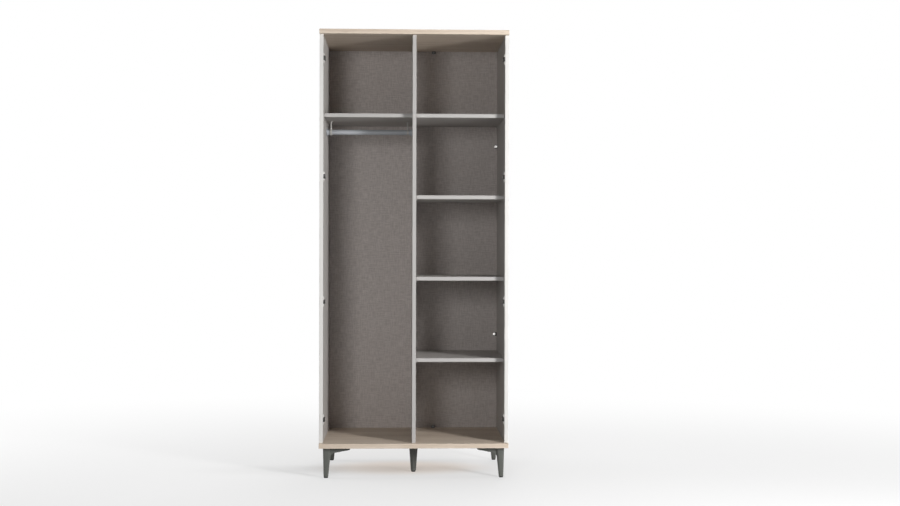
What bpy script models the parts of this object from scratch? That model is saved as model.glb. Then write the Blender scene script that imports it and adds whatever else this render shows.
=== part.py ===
# A tall two-bay wardrobe carcass: boards, backs, clothes rail, shelves, hinge plates and cast legs.
# Metres, +Z up, front towards -Y, origin on the floor under the middle of the carcass.

import math

import bmesh
import bpy
from mathutils import Matrix, Vector

# Carcass
OVERALL_WIDTH = 0.900
OVERALL_DEPTH = 0.580
INNER_HEIGHT = 1.942  # bottom panel to top panel
LEG_HEIGHT = 0.144  # floor to the underside of the bottom panel
CAP_THICKNESS = 0.022  # top and bottom panels
BOARD_THICKNESS = 0.018  # uprights and shelves
UPRIGHT_SETBACK = 0.024  # a door's thickness behind the caps' front edges
EDGE_RADIUS = 0.001
EDGE_STEPS = 2
SEAT_GAP = 0.0003  # between pieces that touch
CUT_OVERRUN = 0.002  # how far a cut runs past the face it opens

# Back panels, held in grooves
BACK_THICKNESS = 0.003
BACK_RECESS = 0.017  # carcass rear to the rear face of the back panels
GROOVE_DEPTH = 0.005

# Shelves
SHELF_SETBACK = 0.048  # behind the uprights' front edges
SHELF_REAR_PLAY = 0.002
LOOSE_SHELF_PLAY = 0.001  # at each end of a loose shelf
TOP_BAY_HEIGHT = 0.370
LOWEST_BAY_HEIGHT = 0.382
RIGHT_SHELF_COUNT = 4

# Dowels of the fixed shelves and pins of the loose ones
DOWEL_RADIUS = 0.004
DOWEL_SIDE_DEPTH = 0.010
DOWEL_SHELF_DEPTH = 0.020
DOWEL_SETBACK = 0.060  # from the shelf's front and rear edges
PIN_RADIUS = 0.0025
PIN_SIDE_DEPTH = 0.008
PIN_REACH = 0.008  # out of the upright, under the shelf
PIN_SETBACK = 0.037  # from the shelf's front and rear edges
PEG_SIDES = 12

# Clothes rail with its sockets and hangers
RAIL_RADIUS = 0.0125
RAIL_WALL = 0.0012
RAIL_DROP = 0.054  # hat shelf underside to the rail's axis
SOCKET_REACH = 0.010
SOCKET_BASE = 0.0025
SOCKET_WALL = 0.0022
SOCKET_RIM = 0.0045  # how far the flange stands out past the cup
HANGER_INSET = 0.022  # from the wall of the bay
HANGER_WIDTH = 0.009
HANGER_WALL = 0.003
HANGER_STEM_RADIUS = 0.0045
HANGER_BOSS_RADIUS = 0.006
HANGER_BOSS_HEIGHT = 0.007
HANGER_FLANGE_RADIUS = 0.011
HANGER_FLANGE_THICKNESS = 0.0025
ROUND_SIDES = 24

# Hinge plates for the doors
PLATE_SETBACK = 0.006  # behind the side panel's front edge
PLATE_LENGTH = 0.038
PLATE_WIDTH = 0.020
PLATE_HEIGHT = 0.0085  # proud of the side panel
PLATE_NOSE_HEIGHT = 0.0045
PLATE_NOSE_LENGTH = 0.008
WING_SPAN = 0.050
WING_WIDTH = 0.015
WING_THICKNESS = 0.0025
WING_CORNER = 0.005
PLATE_SCREW_SPACING = 0.032
PLATE_SCREW_RADIUS = 0.0022
PLATE_END_OFFSET = 0.111  # from the caps to the outer plates
PLATE_MIDDLE_SPREAD = 0.596  # between the two inner plates

# Back fasteners in the right bay
FASTENER_SIZE = 0.012
FASTENER_LIP = 0.004
FASTENER_LENGTH = 0.018
FASTENER_RISE = 0.0845  # above the lowest shelf
FASTENER_DROP = 0.101  # below the fixed right shelf
FASTENER_OFFSET = 0.094  # from the divider to the top and bottom fasteners

# Cast legs
LEG_TOP_SIZE = 0.0395
LEG_FOOT_SIZE = 0.022
LEG_FLARE = 0.0038  # how far the outer faces lean out from foot to top
LEG_CORNER_RADIUS = 0.013
LEG_CORNER_STEPS = 4
LEG_RIM_RADIUS = 0.002
LEG_SIDE_INSET = 0.0215  # carcass side to the leg's outer face at the foot
LEG_FRONT_INSET = 0.028
LEG_REAR_INSET = 0.016
CENTRE_LEG_SETBACK = 0.202  # carcass front to the centre leg's axis
ARM_LENGTH = 0.127  # from the leg's outer face at the foot
ARM_WIDTH = 0.018
ARM_TIP_DEPTH = 0.011
ARM_ROOT_DEPTH = 0.0285
ARM_TIP_RADIUS = 0.008
ARM_FILLET = 0.024
ARM_EDGE_RADIUS = 0.0015
ARC_STEPS = 5

# Levelling glides
GLIDE_RADIUS = 0.010
GLIDE_HEIGHT = 0.005
GLIDE_RIM = 0.0015
GLIDE_STEM_RADIUS = 0.004
GLIDE_STEM_LENGTH = 0.024
GLIDE_SIDES = 16

# Levels and faces worked out from the sizes above
LEFT = -OVERALL_WIDTH / 2
RIGHT = OVERALL_WIDTH / 2
FRONT = -OVERALL_DEPTH / 2
REAR = OVERALL_DEPTH / 2
FLOOR_LEVEL = LEG_HEIGHT + CAP_THICKNESS
CEILING_LEVEL = FLOOR_LEVEL + INNER_HEIGHT
LEFT_FACE = LEFT + BOARD_THICKNESS
RIGHT_FACE = RIGHT - BOARD_THICKNESS
DIVIDER_LEFT = -BOARD_THICKNESS / 2
DIVIDER_RIGHT = BOARD_THICKNESS / 2
UPRIGHT_FRONT = FRONT + UPRIGHT_SETBACK
BACK_REAR = REAR - BACK_RECESS
BACK_FACE = BACK_REAR - BACK_THICKNESS
SHELF_FRONT = UPRIGHT_FRONT + SHELF_SETBACK
SHELF_REAR = BACK_FACE - SHELF_REAR_PLAY
FIXED_SHELF_TOP = CEILING_LEVEL - TOP_BAY_HEIGHT
LOWEST_SHELF_TOP = FLOOR_LEVEL + LOWEST_BAY_HEIGHT + BOARD_THICKNESS
SHELF_PITCH = (FIXED_SHELF_TOP - LOWEST_SHELF_TOP) / (RIGHT_SHELF_COUNT - 1)
DOWEL_LEVEL = FIXED_SHELF_TOP - BOARD_THICKNESS / 2
DOWEL_PLACES = {"front": SHELF_FRONT + DOWEL_SETBACK, "rear": SHELF_REAR - DOWEL_SETBACK}
PIN_PLACES = {"front": SHELF_FRONT + PIN_SETBACK, "rear": SHELF_REAR - PIN_SETBACK}
RAIL_LEVEL = FIXED_SHELF_TOP - BOARD_THICKNESS - RAIL_DROP
RAIL_Y = (UPRIGHT_FRONT + BACK_FACE) / 2
RAIL_LEFT = LEFT_FACE + SEAT_GAP
RAIL_RIGHT = DIVIDER_LEFT - SEAT_GAP
LEG_OUTER = -LEG_FOOT_SIZE / 2  # outer faces of a leg at its foot, measured from its glide's axis
LEG_TOP_OUTER = LEG_OUTER - LEG_FLARE
LEG_BOTTOM = GLIDE_HEIGHT + SEAT_GAP
LEG_TOP = LEG_HEIGHT - SEAT_GAP

AXIS_X = Vector((1, 0, 0))
AXIS_Y = Vector((0, 1, 0))
AXIS_Z = Vector((0, 0, 1))


def clear_scene():
    for obj in list(bpy.data.objects):
        bpy.data.objects.remove(obj, do_unlink=True)


def make_collection(name):
    collection = bpy.data.collections.new(name)
    bpy.context.scene.collection.children.link(collection)
    return collection


def make_material(name, colour, roughness, metallic=0.0):
    material = bpy.data.materials.new(name)
    material.use_nodes = True
    shader = material.node_tree.nodes["Principled BSDF"]
    shader.inputs["Base Color"].default_value = (*colour, 1.0)
    shader.inputs["Roughness"].default_value = roughness
    shader.inputs["Metallic"].default_value = metallic
    return material


clear_scene()
PARTS = make_collection("wardrobe")
CUTTERS = make_collection("wardrobe_cutters")
STAND = bpy.data.objects.new("wardrobe_stand", None)
PARTS.objects.link(STAND)

OAK = make_material("oak_board", (0.72, 0.60, 0.49), 0.55)
GREIGE = make_material("greige_board", (0.45, 0.44, 0.42), 0.6)
LINEN = make_material("linen_back", (0.50, 0.47, 0.45), 0.75)
BEECH = make_material("beech_dowel", (0.60, 0.43, 0.27), 0.7)
RAIL_STEEL = make_material("rail_steel", (0.43, 0.45, 0.485), 0.4, 0.35)
NICKEL = make_material("nickel_fitting", (0.50, 0.49, 0.47), 0.3, 1.0)
CAST_METAL = make_material("cast_leg", (0.13, 0.14, 0.125), 0.5, 0.3)
GLIDE_PLASTIC = make_material("glide_plastic", (0.03, 0.03, 0.03), 0.5)
FASTENER_PLASTIC = make_material("fastener_plastic", (0.09, 0.087, 0.083), 0.45)


def place(name, mesh, material, location, rotation=None):
    """A part in the wardrobe, under the stand empty."""
    mesh.materials.clear()
    mesh.materials.append(material)
    obj = bpy.data.objects.new(name, mesh)
    PARTS.objects.link(obj)
    obj.parent = STAND
    obj.location = location
    if rotation is not None:
        obj.rotation_euler = rotation
    return obj


def facing(x_axis, z_axis):
    """The turn that points a piece's own X and Z along two directions."""
    y_axis = z_axis.cross(x_axis)
    return Matrix((x_axis, y_axis, z_axis)).transposed().to_euler()


def finish(bm, name):
    mesh = bpy.data.meshes.new(name)
    bm.to_mesh(mesh)
    bm.free()
    return mesh


def add_box(bm, low, high):
    low = Vector(low)
    high = Vector(high)
    size = Matrix.Diagonal((*(high - low), 1.0))
    return bmesh.ops.create_cube(bm, size=1.0, matrix=Matrix.Translation((low + high) / 2) @ size)


def add_cylinder(bm, start, end, radius, sides):
    start = Vector(start)
    end = Vector(end)
    along = end - start
    turn = along.to_track_quat("Z", "Y").to_matrix().to_4x4()
    bmesh.ops.create_cone(
        bm,
        cap_ends=True,
        segments=sides,
        radius1=radius,
        radius2=radius,
        depth=along.length,
        matrix=Matrix.Translation((start + end) / 2) @ turn,
    )


def cylinder_mesh(name, start, end, radius, sides):
    bm = bmesh.new()
    add_cylinder(bm, start, end, radius, sides)
    return finish(bm, name)


def shade_round(mesh):
    mesh.shade_smooth()
    mesh.set_sharp_from_angle(angle=math.radians(40))


def add_helper(name, mesh):
    """A cutter or other helper, which isn't a part."""
    obj = bpy.data.objects.new(name, mesh)
    CUTTERS.objects.link(obj)
    obj.hide_render = True
    obj.display_type = "WIRE"
    return obj


def add_boolean(obj, other, operation):
    modifier = obj.modifiers.new(other.name, "BOOLEAN")
    modifier.operation = operation
    modifier.object = other
    modifier.solver = "EXACT"


def evaluated_mesh(obj):
    graph = bpy.context.evaluated_depsgraph_get()
    return bpy.data.meshes.new_from_object(obj.evaluated_get(graph))


def cut(obj, bm):
    """Takes the shapes in bm, which are in place in the wardrobe, out of a part."""
    name = obj.name + "_cuts"
    add_boolean(obj, add_helper(name, finish(bm, name)), "DIFFERENCE")


def combine(name, joined, removed):
    """One mesh of the joined bodies, with the removed ones cut out of it."""
    first = add_helper(name, joined[0])
    helpers = [first]
    for operation, meshes in (("UNION", joined[1:]), ("DIFFERENCE", removed)):
        for mesh in meshes:
            helper = add_helper(mesh.name, mesh)
            add_boolean(first, helper, operation)
            helpers.append(helper)
    result = evaluated_mesh(first)
    for helper in helpers:
        bpy.data.objects.remove(helper, do_unlink=True)
    result.name = name
    shade_round(result)
    return result


def rounded(corners):
    """Points of a closed outline. Each corner is its place and the radius that rounds it."""
    points = []
    for index, (x, z, radius) in enumerate(corners):
        corner = Vector((x, z))
        if radius == 0:
            points.append(corner)
            continue
        before = (Vector(corners[index - 1][:2]) - corner).normalized()
        after = (Vector(corners[(index + 1) % len(corners)][:2]) - corner).normalized()
        half = before.angle(after) / 2
        centre = corner + (before + after).normalized() * radius / math.sin(half)
        first = corner + before * radius / math.tan(half) - centre
        sweep = first.angle_signed(corner + after * radius / math.tan(half) - centre)
        for step in range(ARC_STEPS + 1):
            points.append(centre + Matrix.Rotation(-sweep * step / ARC_STEPS, 2) @ first)
    return points


def outline_mesh(name, points, thickness, edge_radius=0.0):
    """A flat outline in X and Z, with its thickness along Y."""
    curve = bpy.data.curves.new(name, "CURVE")
    curve.dimensions = "2D"
    curve.fill_mode = "BOTH"
    curve.extrude = thickness / 2
    spline = curve.splines.new("POLY")
    spline.points.add(len(points) - 1)
    for target, point in zip(spline.points, points):
        target.co = (point.x, point.y, 0.0, 1.0)
    spline.use_cyclic_u = True
    obj = add_helper(name, curve)
    bm = bmesh.new()
    bm.from_mesh(evaluated_mesh(obj))
    bpy.data.objects.remove(obj, do_unlink=True)
    bmesh.ops.remove_doubles(bm, verts=bm.verts, dist=1e-6)
    bmesh.ops.dissolve_limit(bm, angle_limit=1e-4, verts=bm.verts, edges=bm.edges)
    bmesh.ops.recalc_face_normals(bm, faces=bm.faces)
    if edge_radius:
        rims = [edge for edge in bm.edges if edge.calc_face_angle() > math.radians(60)]
        rims = [edge for edge in rims if edge.verts[0].co.z == edge.verts[1].co.z]
        bmesh.ops.bevel(bm, geom=rims, offset=edge_radius, segments=1, profile=0.5, affect="EDGES")
    bmesh.ops.rotate(bm, verts=bm.verts, matrix=Matrix.Rotation(math.pi / 2, 3, "X"))
    return finish(bm, name)


def turned(name, profile, material, location, rotation=None, sides=ROUND_SIDES, ring=False):
    """A part turned about its own Z from (radius, height) points that run down its outer side."""
    bm = bmesh.new()
    points = [bm.verts.new((radius, 0.0, height)) for radius, height in profile]
    pairs = list(zip(points, points[1:]))
    if ring:
        pairs.append((points[-1], points[0]))
    for pair in pairs:
        bm.edges.new(pair)
    obj = place(name, finish(bm, name), material, location, rotation)
    screw = obj.modifiers.new("turning", "SCREW")
    screw.steps = sides
    screw.render_steps = sides
    screw.use_merge_vertices = True
    screw.merge_threshold = 0.00001
    screw.use_smooth_shade = False
    return obj


def board(name, low, high, material, edge_radius=EDGE_RADIUS):
    centre = (Vector(low) + Vector(high)) / 2
    bm = bmesh.new()
    add_box(bm, Vector(low) - centre, Vector(high) - centre)
    obj = place(name, finish(bm, name), material, centre)
    if edge_radius:
        bevel = obj.modifiers.new("rounded_edges", "BEVEL")
        bevel.width = edge_radius
        bevel.segments = EDGE_STEPS
    return obj


def shelf_tops():
    """Top levels of the right-hand shelves, from the fixed one down."""
    return [FIXED_SHELF_TOP - SHELF_PITCH * index for index in range(RIGHT_SHELF_COUNT)]


def pin_level(shelf_top):
    return shelf_top - BOARD_THICKNESS - SEAT_GAP - PIN_RADIUS


def add_groove(bm, low_x, high_x, low_z, high_z):
    add_box(bm, (low_x, BACK_FACE - SEAT_GAP, low_z), (high_x, BACK_REAR + SEAT_GAP, high_z))


def make_caps():
    top = board("top_panel", (LEFT, FRONT, CEILING_LEVEL), (RIGHT, REAR, CEILING_LEVEL + CAP_THICKNESS), OAK)
    bottom = board("bottom_panel", (LEFT, FRONT, LEG_HEIGHT), (RIGHT, REAR, FLOOR_LEVEL), OAK)
    groove_left = LEFT_FACE - GROOVE_DEPTH
    groove_right = RIGHT_FACE + GROOVE_DEPTH
    top_cuts = bmesh.new()
    add_groove(top_cuts, groove_left, groove_right, CEILING_LEVEL - CUT_OVERRUN, CEILING_LEVEL + GROOVE_DEPTH)
    cut(top, top_cuts)
    bottom_cuts = bmesh.new()
    add_groove(bottom_cuts, groove_left, groove_right, FLOOR_LEVEL - GROOVE_DEPTH, FLOOR_LEVEL + CUT_OVERRUN)
    cut(bottom, bottom_cuts)


def make_upright(name, low_x, high_x):
    low = (low_x, UPRIGHT_FRONT, FLOOR_LEVEL + SEAT_GAP)
    high = (high_x, REAR, CEILING_LEVEL - SEAT_GAP)
    return board(name, low, high, GREIGE)


def add_upright_groove(bm, face, inward):
    """A groove over the whole height of an upright, cut into the face that looks along inward."""
    ends = sorted((face - inward * GROOVE_DEPTH, face + inward * CUT_OVERRUN))
    add_groove(bm, *ends, FLOOR_LEVEL - CUT_OVERRUN, CEILING_LEVEL + CUT_OVERRUN)


def add_peg_hole(bm, x_start, x_end, y, z, radius):
    add_cylinder(bm, (x_start, y, z), (x_end, y, z), radius + SEAT_GAP, PEG_SIDES)


def add_pin_holes(bm, face, inward):
    for top in shelf_tops()[1:]:
        for y in PIN_PLACES.values():
            deep = face - inward * (PIN_SIDE_DEPTH + SEAT_GAP)
            add_peg_hole(bm, deep, face + inward * CUT_OVERRUN, y, pin_level(top), PIN_RADIUS)


def add_dowel_holes(bm, x_start, x_end):
    for y in DOWEL_PLACES.values():
        add_peg_hole(bm, x_start, x_end, y, DOWEL_LEVEL, DOWEL_RADIUS)


def make_uprights():
    left = make_upright("left_side_panel", LEFT, LEFT_FACE)
    left_cuts = bmesh.new()
    add_upright_groove(left_cuts, LEFT_FACE, 1)
    add_dowel_holes(left_cuts, LEFT_FACE - DOWEL_SIDE_DEPTH - SEAT_GAP, LEFT_FACE + CUT_OVERRUN)
    cut(left, left_cuts)

    divider = make_upright("centre_divider", DIVIDER_LEFT, DIVIDER_RIGHT)
    divider_cuts = bmesh.new()
    add_upright_groove(divider_cuts, DIVIDER_LEFT, -1)
    add_upright_groove(divider_cuts, DIVIDER_RIGHT, 1)
    add_dowel_holes(divider_cuts, DIVIDER_LEFT - CUT_OVERRUN, DIVIDER_RIGHT + CUT_OVERRUN)
    add_pin_holes(divider_cuts, DIVIDER_RIGHT, 1)
    cut(divider, divider_cuts)

    right = make_upright("right_side_panel", RIGHT_FACE, RIGHT)
    right_cuts = bmesh.new()
    add_upright_groove(right_cuts, RIGHT_FACE, -1)
    add_dowel_holes(right_cuts, RIGHT_FACE - CUT_OVERRUN, RIGHT_FACE + DOWEL_SIDE_DEPTH + SEAT_GAP)
    add_pin_holes(right_cuts, RIGHT_FACE, -1)
    cut(right, right_cuts)


def make_backs():
    tongue = GROOVE_DEPTH - SEAT_GAP
    bays = {"left_back_panel": (LEFT_FACE, DIVIDER_LEFT), "right_back_panel": (DIVIDER_RIGHT, RIGHT_FACE)}
    for name, (bay_left, bay_right) in bays.items():
        low = (bay_left - tongue, BACK_FACE, FLOOR_LEVEL - tongue)
        high = (bay_right + tongue, BACK_REAR, CEILING_LEVEL + tongue)
        board(name, low, high, LINEN, edge_radius=0.0)


def make_shelf(name, bay_left, bay_right, top, play):
    low = (bay_left + play, SHELF_FRONT, top - BOARD_THICKNESS)
    high = (bay_right - play, SHELF_REAR, top)
    return board(name, low, high, GREIGE)


def make_fixed_shelf(name, bay_left, bay_right):
    shelf = make_shelf(name, bay_left, bay_right, FIXED_SHELF_TOP, SEAT_GAP)
    depth = DOWEL_SHELF_DEPTH + SEAT_GAP
    cuts = bmesh.new()
    add_dowel_holes(cuts, bay_left - CUT_OVERRUN, bay_left + depth)
    add_dowel_holes(cuts, bay_right - depth, bay_right + CUT_OVERRUN)
    cut(shelf, cuts)


def make_shelves():
    make_fixed_shelf("hat_shelf", LEFT_FACE, DIVIDER_LEFT)
    make_fixed_shelf("right_shelf_1", DIVIDER_RIGHT, RIGHT_FACE)
    for number, top in enumerate(shelf_tops()[1:], start=2):
        make_shelf(f"right_shelf_{number}", DIVIDER_RIGHT, RIGHT_FACE, top, LOOSE_SHELF_PLAY)


def make_peg(name, x_start, x_end, y, z, radius, material):
    middle = Vector(((x_start + x_end) / 2, y, z))
    mesh = cylinder_mesh(name, AXIS_X * (x_start - middle.x), AXIS_X * (x_end - middle.x), radius, PEG_SIDES)
    shade_round(mesh)
    place(name, mesh, material, middle)


def make_dowels():
    runs = {
        "left_shelf_dowel": (LEFT_FACE - DOWEL_SIDE_DEPTH, LEFT_FACE + DOWEL_SHELF_DEPTH),
        "divider_shelf_dowel": (DIVIDER_LEFT - DOWEL_SHELF_DEPTH, DIVIDER_RIGHT + DOWEL_SHELF_DEPTH),
        "right_shelf_dowel": (RIGHT_FACE - DOWEL_SHELF_DEPTH, RIGHT_FACE + DOWEL_SIDE_DEPTH),
    }
    for name, (x_start, x_end) in runs.items():
        for place_name, y in DOWEL_PLACES.items():
            make_peg(f"{name}_{place_name}", x_start, x_end, y, DOWEL_LEVEL, DOWEL_RADIUS, BEECH)


def make_pins():
    runs = {
        "left": (DIVIDER_RIGHT - PIN_SIDE_DEPTH, DIVIDER_RIGHT + PIN_REACH),
        "right": (RIGHT_FACE - PIN_REACH, RIGHT_FACE + PIN_SIDE_DEPTH),
    }
    for number, top in enumerate(shelf_tops()[1:], start=2):
        for side, (x_start, x_end) in runs.items():
            for place_name, y in PIN_PLACES.items():
                name = f"shelf_{number}_pin_{place_name}_{side}"
                make_peg(name, x_start, x_end, y, pin_level(top), PIN_RADIUS, NICKEL)


def make_rail():
    end_gap = SOCKET_BASE + SEAT_GAP
    half = (RAIL_RIGHT - RAIL_LEFT) / 2 - end_gap
    bore = RAIL_RADIUS - RAIL_WALL
    tube = [(RAIL_RADIUS, half), (RAIL_RADIUS, -half), (bore, -half), (bore, half)]
    middle = ((RAIL_LEFT + RAIL_RIGHT) / 2, RAIL_Y, RAIL_LEVEL)
    turned("clothes_rail", tube, RAIL_STEEL, middle, facing(AXIS_Y, AXIS_X), ring=True)

    inside = RAIL_RADIUS + SEAT_GAP
    outside = inside + SOCKET_WALL
    flange = outside + SOCKET_RIM
    cup = [
        (0.0, SOCKET_BASE),
        (inside, SOCKET_BASE),
        (inside, SOCKET_REACH),
        (outside, SOCKET_REACH),
        (outside, SOCKET_BASE),
        (flange, SOCKET_BASE),
        (flange, 0.0),
        (0.0, 0.0),
    ]
    for side, x, out in (("left", RAIL_LEFT, AXIS_X), ("right", RAIL_RIGHT, -AXIS_X)):
        turned(f"{side}_rail_socket", cup, NICKEL, (x, RAIL_Y, RAIL_LEVEL), facing(AXIS_Y, out))


def hanger_mesh():
    """A stem from the hat shelf that carries a ring round the rail, with its origin on the rail's axis."""
    top = RAIL_DROP - SEAT_GAP
    bore = RAIL_RADIUS + SEAT_GAP
    ring = bore + HANGER_WALL
    half = AXIS_X * HANGER_WIDTH / 2
    flange_low = AXIS_Z * (top - HANGER_FLANGE_THICKNESS)
    boss_top = AXIS_Z * (ring + HANGER_BOSS_HEIGHT)
    bore_half = half + AXIS_X * CUT_OVERRUN
    joined = [
        cylinder_mesh("hanger_ring", -half, half, ring, ROUND_SIDES),
        cylinder_mesh("hanger_boss", Vector(), boss_top, HANGER_BOSS_RADIUS, GLIDE_SIDES),
        cylinder_mesh("hanger_stem", Vector(), AXIS_Z * top, HANGER_STEM_RADIUS, PEG_SIDES),
        cylinder_mesh("hanger_flange", flange_low, AXIS_Z * top, HANGER_FLANGE_RADIUS, GLIDE_SIDES),
    ]
    removed = [cylinder_mesh("hanger_bore", -bore_half, bore_half, bore, ROUND_SIDES)]
    return combine("rail_hanger", joined, removed)


def make_hangers():
    mesh = hanger_mesh()
    for side, x in (("left", LEFT_FACE + HANGER_INSET), ("right", DIVIDER_LEFT - HANGER_INSET)):
        place(f"{side}_rail_hanger", mesh, NICKEL, (x, RAIL_Y, RAIL_LEVEL))


def wing_mesh():
    """The two wings of a hinge plate, one flat bar with rounded corners across the bridge."""
    middle = PLATE_LENGTH / 2
    bm = bmesh.new()
    low = (middle - WING_WIDTH / 2, -WING_SPAN / 2, 0.0)
    add_box(bm, low, (middle + WING_WIDTH / 2, WING_SPAN / 2, WING_THICKNESS))
    corners = [edge for edge in bm.edges if edge.verts[0].co.z != edge.verts[1].co.z]
    bmesh.ops.bevel(
        bm, geom=corners, offset=WING_CORNER, segments=ARC_STEPS, profile=0.5, affect="EDGES"
    )
    return finish(bm, "plate_wings")


def plate_mesh():
    """A hinge plate lying on X and Y, with its nose at X zero and its height along Z."""
    bridge = [
        (0.0, 0.0, 0.0),
        (PLATE_LENGTH, 0.0, 0.0),
        (PLATE_LENGTH, PLATE_HEIGHT, EDGE_RADIUS),
        (PLATE_NOSE_LENGTH, PLATE_HEIGHT, EDGE_RADIUS),
        (0.0, PLATE_NOSE_HEIGHT, EDGE_RADIUS),
    ]
    joined = [outline_mesh("plate_bridge", rounded(bridge), PLATE_WIDTH), wing_mesh()]
    removed = []
    for side in (-1, 1):
        screw = Vector((PLATE_LENGTH / 2, side * PLATE_SCREW_SPACING / 2, 0.0))
        low = screw - AXIS_Z * CUT_OVERRUN
        high = screw + AXIS_Z * (WING_THICKNESS + CUT_OVERRUN)
        removed.append(cylinder_mesh("plate_screw_hole", low, high, PLATE_SCREW_RADIUS, PEG_SIDES))
    return combine("hinge_plate", joined, removed)


def plate_levels():
    """Middle heights of a side's hinge plates, from the top down."""
    middle = (FLOOR_LEVEL + CEILING_LEVEL) / 2
    return [
        CEILING_LEVEL - PLATE_END_OFFSET,
        middle + PLATE_MIDDLE_SPREAD / 2,
        middle - PLATE_MIDDLE_SPREAD / 2,
        FLOOR_LEVEL + PLATE_END_OFFSET,
    ]


def make_hinge_plates():
    mesh = plate_mesh()
    nose = UPRIGHT_FRONT + PLATE_SETBACK
    for side, x, out in (("left", LEFT_FACE + SEAT_GAP, AXIS_X), ("right", RIGHT_FACE - SEAT_GAP, -AXIS_X)):
        for number, level in enumerate(plate_levels(), start=1):
            place(f"{side}_hinge_plate_{number}", mesh, NICKEL, (x, nose, level), facing(AXIS_Y, out))


def fastener_mesh():
    """A wedge for the corner between a back panel and a board, with its length along Y."""
    wedge = [
        (0.0, 0.0, 0.0),
        (FASTENER_SIZE, 0.0, 0.0),
        (FASTENER_SIZE, FASTENER_LIP, EDGE_RADIUS),
        (FASTENER_LIP, FASTENER_SIZE, EDGE_RADIUS),
        (0.0, FASTENER_SIZE, 0.0),
    ]
    return outline_mesh("back_fastener", rounded(wedge), FASTENER_LENGTH)


def make_fasteners():
    mesh = fastener_mesh()
    y = BACK_FACE - SEAT_GAP
    side_x = RIGHT_FACE - SEAT_GAP
    cap_x = DIVIDER_RIGHT + FASTENER_OFFSET
    places = {
        "top": ((cap_x, y, CEILING_LEVEL - SEAT_GAP), -AXIS_Z),
        "bottom": ((cap_x, y, FLOOR_LEVEL + SEAT_GAP), AXIS_Z),
        "upper": ((side_x, y, FIXED_SHELF_TOP - BOARD_THICKNESS - FASTENER_DROP), -AXIS_X),
        "lower": ((side_x, y, LOWEST_SHELF_TOP + FASTENER_RISE), -AXIS_X),
    }
    for name, (location, out) in places.items():
        place(f"{name}_back_fastener", mesh, FASTENER_PLASTIC, location, facing(-AXIS_Y, out))


def leg_column_mesh():
    """A rounded square post whose two outer faces lean a little and whose foot is drawn in."""
    bm = bmesh.new()
    corner = Vector((LEG_TOP_OUTER, LEG_TOP_OUTER, LEG_BOTTOM))
    add_box(bm, corner, (LEG_TOP_OUTER + LEG_TOP_SIZE, LEG_TOP_OUTER + LEG_TOP_SIZE, LEG_TOP))
    uprights = [edge for edge in bm.edges if edge.verts[0].co.z != edge.verts[1].co.z]
    bmesh.ops.bevel(
        bm,
        geom=uprights,
        offset=LEG_CORNER_RADIUS,
        segments=LEG_CORNER_STEPS,
        profile=0.5,
        affect="EDGES",
    )
    middle = (LEG_BOTTOM + LEG_TOP) / 2
    foot = [vert for vert in bm.verts if vert.co.z < middle]
    shrink = LEG_FOOT_SIZE / LEG_TOP_SIZE
    still = (LEG_OUTER - shrink * LEG_TOP_OUTER) / (1.0 - shrink)
    pivot = Vector((still, still, LEG_BOTTOM))
    bmesh.ops.scale(bm, verts=foot, vec=(shrink, shrink, 1.0), space=Matrix.Translation(-pivot))
    rim = [edge for edge in bm.edges if max(vert.co.z for vert in edge.verts) < middle]
    bmesh.ops.bevel(
        bm, geom=rim, offset=LEG_RIM_RADIUS, segments=EDGE_STEPS, profile=0.5, affect="EDGES"
    )
    return finish(bm, "leg_column")


def leg_inner_face(level):
    """How far the post's tapering face stands from the glide's axis at a level."""
    share = (level - LEG_BOTTOM) / (LEG_TOP - LEG_BOTTOM)
    return LEG_OUTER + LEG_FOOT_SIZE + share * (LEG_TOP_SIZE - LEG_FLARE - LEG_FOOT_SIZE)


def leg_arm_mesh(name, turn):
    """An arm under the bottom panel, deepening towards the post and filleted into it."""
    sunk = SEAT_GAP
    tip = LEG_OUTER + ARM_LENGTH
    root = LEG_TOP - ARM_ROOT_DEPTH
    gusset = root - 1.5 * ARM_FILLET
    outline = [
        (0.0, LEG_TOP, 0.0),
        (tip, LEG_TOP, 0.0),
        (tip, LEG_TOP - ARM_TIP_DEPTH, ARM_TIP_RADIUS),
        (leg_inner_face(root) - sunk, root, ARM_FILLET),
        (leg_inner_face(gusset) - sunk, gusset, 0.0),
        (0.0, gusset, 0.0),
    ]
    mesh = outline_mesh(name, rounded(outline), ARM_WIDTH, ARM_EDGE_RADIUS)
    sideways = Matrix.Translation(AXIS_Y * (LEG_TOP_OUTER + LEG_TOP_SIZE / 2))
    mesh.transform(turn @ sideways)
    return mesh


def leg_mesh():
    """A post with two arms, along +X and +Y, and a bore for its glide, standing over the origin."""
    swap = Matrix(((0, 1, 0, 0), (1, 0, 0, 0), (0, 0, 1, 0), (0, 0, 0, 1)))
    second_arm = leg_arm_mesh("leg_arm_y", swap)
    second_arm.flip_normals()
    joined = [leg_column_mesh(), leg_arm_mesh("leg_arm_x", Matrix.Identity(4)), second_arm]
    bore_top = AXIS_Z * (LEG_BOTTOM + GLIDE_STEM_LENGTH)
    bore_low = AXIS_Z * (LEG_BOTTOM - CUT_OVERRUN)
    removed = [cylinder_mesh("glide_bore", bore_low, bore_top, GLIDE_STEM_RADIUS + SEAT_GAP, GLIDE_SIDES)]
    return combine("cast_leg", joined, removed)


def leg_places():
    """Each leg's glide axis on the floor and the turn of its arms, in degrees."""
    across = RIGHT - LEG_SIDE_INSET + LEG_OUTER
    front = FRONT + LEG_FRONT_INSET - LEG_OUTER
    rear = REAR - LEG_REAR_INSET + LEG_OUTER
    return {
        "front_left": ((-across, front, 0.0), 0),
        "front_right": ((across, front, 0.0), 90),
        "rear_right": ((across, rear, 0.0), 180),
        "rear_left": ((-across, rear, 0.0), 270),
        "centre": ((0.0, FRONT + CENTRE_LEG_SETBACK, 0.0), 45),
    }


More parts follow.
